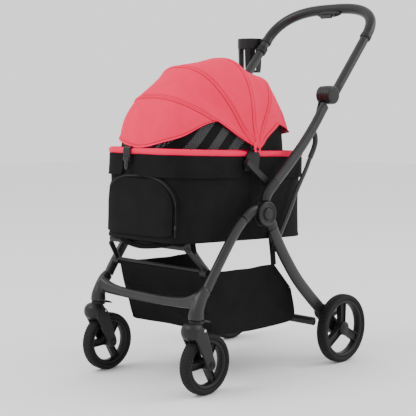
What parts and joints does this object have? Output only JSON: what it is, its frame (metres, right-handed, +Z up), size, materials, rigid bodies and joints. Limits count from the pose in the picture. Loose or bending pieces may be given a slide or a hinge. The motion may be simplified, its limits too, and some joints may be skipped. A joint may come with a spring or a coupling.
{
  "type": "pet stroller",
  "caption": "Folding pet stroller: swivel front casters, U handle with cup holder, lift-off fabric carrier with bowed canopy, sling basket and foot brake.",
  "frame": {"origin": "on the floor under the middle of the whole outline, cup holder included", "axes": "+Z up, -Y the front, +X the left hand of someone facing the front"},
  "size_m": [0.54, 0.8668, 1.0741],
  "materials": {
    "frame_paint": "matte",
    "plastic": "matte",
    "rubber": "matte",
    "grip_sleeve": "matte",
    "black_cloth": "woven",
    "pink_cloth": "woven",
    "steel": "satin"
  },
  "bodies": {
    "frame": {"front_crossbar": "frame_paint", "front_support": "frame_paint", "basket": "black_cloth", "basket_rod": "frame_paint", "front_leg_right": "frame_paint", "hub_housing_right": "plastic", "upper_elbow_right": "plastic", "upper_tube_right": "frame_paint", "knob_core_right": "plastic", "carrier_arm_right": "frame_paint", "front_leg_left": "frame_paint", "hub_housing_left": "plastic", "upper_elbow_left": "plastic", "upper_tube_left": "frame_paint", "knob_core_left": "plastic", "carrier_arm_left": "frame_paint"},
    "rear_frame": {"rear_cross_tube": "frame_paint", "rear_leg_right": "frame_paint", "hub_ring_right": "plastic", "wheel_bracket_right": "plastic", "rear_leg_left": "frame_paint", "hub_ring_left": "plastic", "wheel_bracket_left": "plastic"},
    "brake": {"brake_pedal": "plastic"},
    "handle": {"handle_tube": "frame_paint", "grip_sleeve": "grip_sleeve", "release_housing": "plastic", "cup_holder": "plastic", "handle_knuckle_right": "plastic", "handle_knuckle_left": "plastic"},
    "squeeze": {"squeeze_bar": "plastic"},
    "safety": {"safety_button": "plastic"},
    "carrier": {"carrier_body": "black_cloth", "rim_ring": "pink_cloth", "front_clip": "plastic", "canopy_cloth": "pink_cloth", "carrier_hanger_right": "plastic", "carrier_hanger_left": "plastic"},
    "door": {"front_door": "black_cloth"},
    "bow_front": {"bow_front": "steel"},
    "bow_middle": {"bow_middle": "steel"},
    "bow_top": {"bow_top": "steel"},
    "rear_wheel_right": {"rear_tyre_right": "rubber", "rear_rim_right": "plastic"},
    "strut_right": {"rear_strut_right": "frame_paint"},
    "swivel_right": {"caster_swivel_right": "plastic"},
    "lock_right": {"swivel_lock_right": "plastic"},
    "fork_right": {"fork_right": "plastic"},
    "front_wheel_right": {"front_tyre_right": "rubber", "front_rim_right": "plastic"},
    "rear_wheel_left": {"rear_tyre_left": "rubber", "rear_rim_left": "plastic"},
    "strut_left": {"rear_strut_left": "frame_paint"},
    "swivel_left": {"caster_swivel_left": "plastic"},
    "lock_left": {"swivel_lock_left": "plastic"},
    "fork_left": {"fork_left": "plastic"},
    "front_wheel_left": {"front_tyre_left": "rubber", "front_rim_left": "plastic"}
  },
  "joints": [
    {"name": "handle_fold", "type": "hinge", "parent": "frame", "child": "handle", "pos_m": [0.026, 0.15361, 0.786], "axis": [1, 0, 0], "range_deg": [0, 85]},
    {"name": "rear_fold", "type": "hinge", "parent": "frame", "child": "rear_frame", "pos_m": [0.026, -0.12339, 0.4622], "axis": [1, 0, 0], "range_deg": [0, 53.15]},
    {"name": "strut_right_swing", "type": "hinge", "parent": "rear_frame", "child": "strut_right", "pos_m": [0.1985, -0.04739, 0.356], "axis": [1, 0, 0], "range_deg": [-68.41, 0]},
    {"name": "rear_wheel_right_roll", "type": "hinge", "parent": "rear_frame", "child": "rear_wheel_right", "pos_m": [0.253, 0.19261, 0.101], "axis": [1, 0, 0], "continuous": true},
    {"name": "caster_right_swivel", "type": "hinge", "parent": "frame", "child": "swivel_right", "pos_m": [0.224, -0.38239, 0.2035], "axis": [0, 0, 1], "continuous": true},
    {"name": "caster_right_lock", "type": "hinge", "parent": "swivel_right", "child": "lock_right", "pos_m": [0.224, -0.35619, 0.1987], "axis": [1, 0, 0], "range_deg": [-18, 0]},
    {"name": "fork_right_spring", "type": "hinge", "parent": "swivel_right", "child": "fork_right", "pos_m": [0.224, -0.37739, 0.178], "axis": [1, 0, 0], "range_deg": [0, 4], "stiffness_Nm_per_rad": 60, "springref_deg": -2.01},
    {"name": "front_wheel_right_roll", "type": "hinge", "parent": "fork_right", "child": "front_wheel_right", "pos_m": [0.224, -0.35089, 0.0825], "axis": [1, 0, 0], "continuous": true},
    {"name": "strut_left_swing", "type": "hinge", "parent": "rear_frame", "child": "strut_left", "pos_m": [-0.1465, -0.04739, 0.356], "axis": [1, 0, 0], "range_deg": [-68.41, 0]},
    {"name": "rear_wheel_left_roll", "type": "hinge", "parent": "rear_frame", "child": "rear_wheel_left", "pos_m": [-0.201, 0.19261, 0.101], "axis": [1, 0, 0], "continuous": true},
    {"name": "caster_left_swivel", "type": "hinge", "parent": "frame", "child": "swivel_left", "pos_m": [-0.172, -0.38239, 0.2035], "axis": [0, 0, 1], "continuous": true},
    {"name": "caster_left_lock", "type": "hinge", "parent": "swivel_left", "child": "lock_left", "pos_m": [-0.172, -0.35619, 0.1987], "axis": [1, 0, 0], "range_deg": [-18, 0]},
    {"name": "fork_left_spring", "type": "hinge", "parent": "swivel_left", "child": "fork_left", "pos_m": [-0.172, -0.37739, 0.178], "axis": [1, 0, 0], "range_deg": [0, 4], "stiffness_Nm_per_rad": 60, "springref_deg": -2.01},
    {"name": "front_wheel_left_roll", "type": "hinge", "parent": "fork_left", "child": "front_wheel_left", "pos_m": [-0.172, -0.35089, 0.0825], "axis": [1, 0, 0], "continuous": true},
    {"name": "brake_press", "type": "hinge", "parent": "rear_frame", "child": "brake", "pos_m": [0.212, 0.20461, 0.131], "axis": [1, 0, 0], "range_deg": [-22, 0]},
    {"name": "squeeze_press", "type": "slide", "parent": "handle", "child": "squeeze", "axis": [0, 0.6561, 0.7547], "range_m": [0, 0.004], "stiffness_N_per_m": 600},
    {"name": "safety_press", "type": "slide", "parent": "handle", "child": "safety", "axis": [0, 0.6561, 0.7547], "range_m": [0, 0.0025], "stiffness_N_per_m": 400},
    {"name": "carrier_lift", "type": "slide", "parent": "frame", "child": "carrier", "axis": [0, 0, 1], "range_m": [0, 0.12]},
    {"name": "door_open", "type": "hinge", "parent": "carrier", "child": "door", "pos_m": [0.026, -0.40882, 0.40873], "axis": [1, 0, 0], "range_deg": [0, 80]},
    {"name": "canopy_fold", "type": "hinge", "parent": "carrier", "child": "bow_front", "pos_m": [0.026, -0.12939, 0.638], "axis": [1, 0, 0], "range_deg": [-74, 0], "deforming": ["canopy_cloth"]},
    {"name": "bow_middle_follow", "type": "hinge", "parent": "carrier", "child": "bow_middle", "pos_m": [0.026, -0.12939, 0.638], "axis": [1, 0, 0], "range_deg": [-60, 0]},
    {"name": "bow_top_follow", "type": "hinge", "parent": "carrier", "child": "bow_top", "pos_m": [0.026, -0.12939, 0.638], "axis": [1, 0, 0], "range_deg": [-36, 0]}
  ],
  "couplings": [
    {"joint": "rear_fold", "follows": "handle_fold", "ratio": 0.62529},
    {"joint": "strut_right_swing", "follows": "handle_fold", "ratio": -0.80482},
    {"joint": "strut_left_swing", "follows": "handle_fold", "ratio": -0.80482},
    {"joint": "bow_middle_follow", "follows": "canopy_fold", "ratio": 0.7474},
    {"joint": "bow_top_follow", "follows": "canopy_fold", "ratio": 0.4421}
  ]
}
